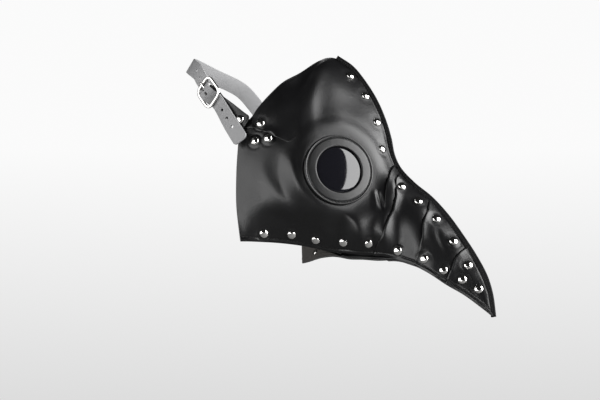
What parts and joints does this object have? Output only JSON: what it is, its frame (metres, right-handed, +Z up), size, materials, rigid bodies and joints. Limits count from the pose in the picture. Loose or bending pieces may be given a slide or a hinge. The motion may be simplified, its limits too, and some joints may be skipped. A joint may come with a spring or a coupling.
{
  "type": "plague doctor mask",
  "caption": "Long-beaked black leather costume mask with stitched ridge and eye rings, tinted lenses, dome rivets and a buckled strap that goes around the head.",
  "frame": {"origin": "middle of the opening that the face goes into, on the plane of symmetry", "axes": "+Z up, the beak points along -Y, +X is the wearer's left, +Y leaves the opening towards the wearer's head"},
  "size_m": [0.1709, 0.3251, 0.2832],
  "materials": {
    "black_leather": "semi-gloss fine-grained black leather, 2 mm",
    "grey_strap": "smooth matt grey leather strap with paler edges",
    "polished_nickel": "polished nickel plate",
    "tinted_lens": "near-black tinted acrylic, glossy"
  },
  "bodies": {
    "mask": {"side_panel_left": "black_leather", "side_panel_right": "black_leather", "under_gusset": "black_leather", "temple_tab_left": "black_leather", "temple_tab_right": "black_leather", "eye_ring_left": "black_leather", "eye_ring_right": "black_leather", "lens_left": "tinted_lens", "lens_right": "tinted_lens", "strap_rivet_left": "polished_nickel", "strap_rivet_right": "polished_nickel", "forehead_rivet_1_left": "polished_nickel", "forehead_rivet_1_right": "polished_nickel", "forehead_rivet_2_left": "polished_nickel", "forehead_rivet_2_right": "polished_nickel", "forehead_rivet_3_left": "polished_nickel", "forehead_rivet_3_right": "polished_nickel", "forehead_rivet_4_left": "polished_nickel", "forehead_rivet_4_right": "polished_nickel", "beak_rivet_1_left": "polished_nickel", "beak_rivet_1_right": "polished_nickel", "beak_rivet_2_left": "polished_nickel", "beak_rivet_2_right": "polished_nickel", "beak_rivet_3_left": "polished_nickel", "beak_rivet_3_right": "polished_nickel", "beak_rivet_4_left": "polished_nickel", "beak_rivet_4_right": "polished_nickel", "beak_rivet_5_left": "polished_nickel", "beak_rivet_5_right": "polished_nickel", "beak_rivet_6_left": "polished_nickel", "beak_rivet_6_right": "polished_nickel", "edge_rivet_1_left": "polished_nickel", "edge_rivet_1_right": "polished_nickel", "edge_rivet_2_left": "polished_nickel", "edge_rivet_2_right": "polished_nickel", "edge_rivet_3_left": "polished_nickel", "edge_rivet_3_right": "polished_nickel", "edge_rivet_4_left": "polished_nickel", "edge_rivet_4_right": "polished_nickel", "edge_rivet_5_left": "polished_nickel", "edge_rivet_5_right": "polished_nickel", "edge_rivet_6_left": "polished_nickel", "edge_rivet_6_right": "polished_nickel", "edge_rivet_7_left": "polished_nickel", "edge_rivet_7_right": "polished_nickel", "edge_rivet_8_left": "polished_nickel", "edge_rivet_8_right": "polished_nickel", "edge_rivet_9_left": "polished_nickel", "edge_rivet_9_right": "polished_nickel", "temple_rivet_1_left": "polished_nickel", "temple_rivet_1_right": "polished_nickel", "temple_rivet_2_left": "polished_nickel", "temple_rivet_2_right": "polished_nickel", "temple_rivet_3_left": "polished_nickel", "temple_rivet_3_right": "polished_nickel"},
    "head_strap": {"buckle_strap": "black_leather", "long_strap": "grey_strap"},
    "tail": {"strap_tail": "grey_strap"},
    "buckle": {"buckle_frame": "polished_nickel"},
    "prong": {"buckle_prong": "polished_nickel"}
  },
  "joints": [
    {"name": "strap_swing", "type": "hinge", "parent": "mask", "child": "head_strap", "pos_m": [0, -0.007, 0.024], "axis": [1, 0, 0], "range_deg": [-20, 30]},
    {"name": "tail_lift", "type": "hinge", "parent": "head_strap", "child": "tail", "pos_m": [-0.07794, 0.01812, 0.04328], "axis": [0.363, 0.7154, -0.5971], "range_deg": [0, 45]},
    {"name": "buckle_swing", "type": "hinge", "parent": "head_strap", "child": "buckle", "pos_m": [-0.079, 0.0286, 0.0552], "axis": [-0.363, -0.7154, 0.5971], "range_deg": [-1, 1]},
    {"name": "prong_swing", "type": "hinge", "parent": "head_strap", "child": "prong", "pos_m": [-0.079, 0.0286, 0.0552], "axis": [-0.363, -0.7154, 0.5971], "range_deg": [0, 6]}
  ]
}
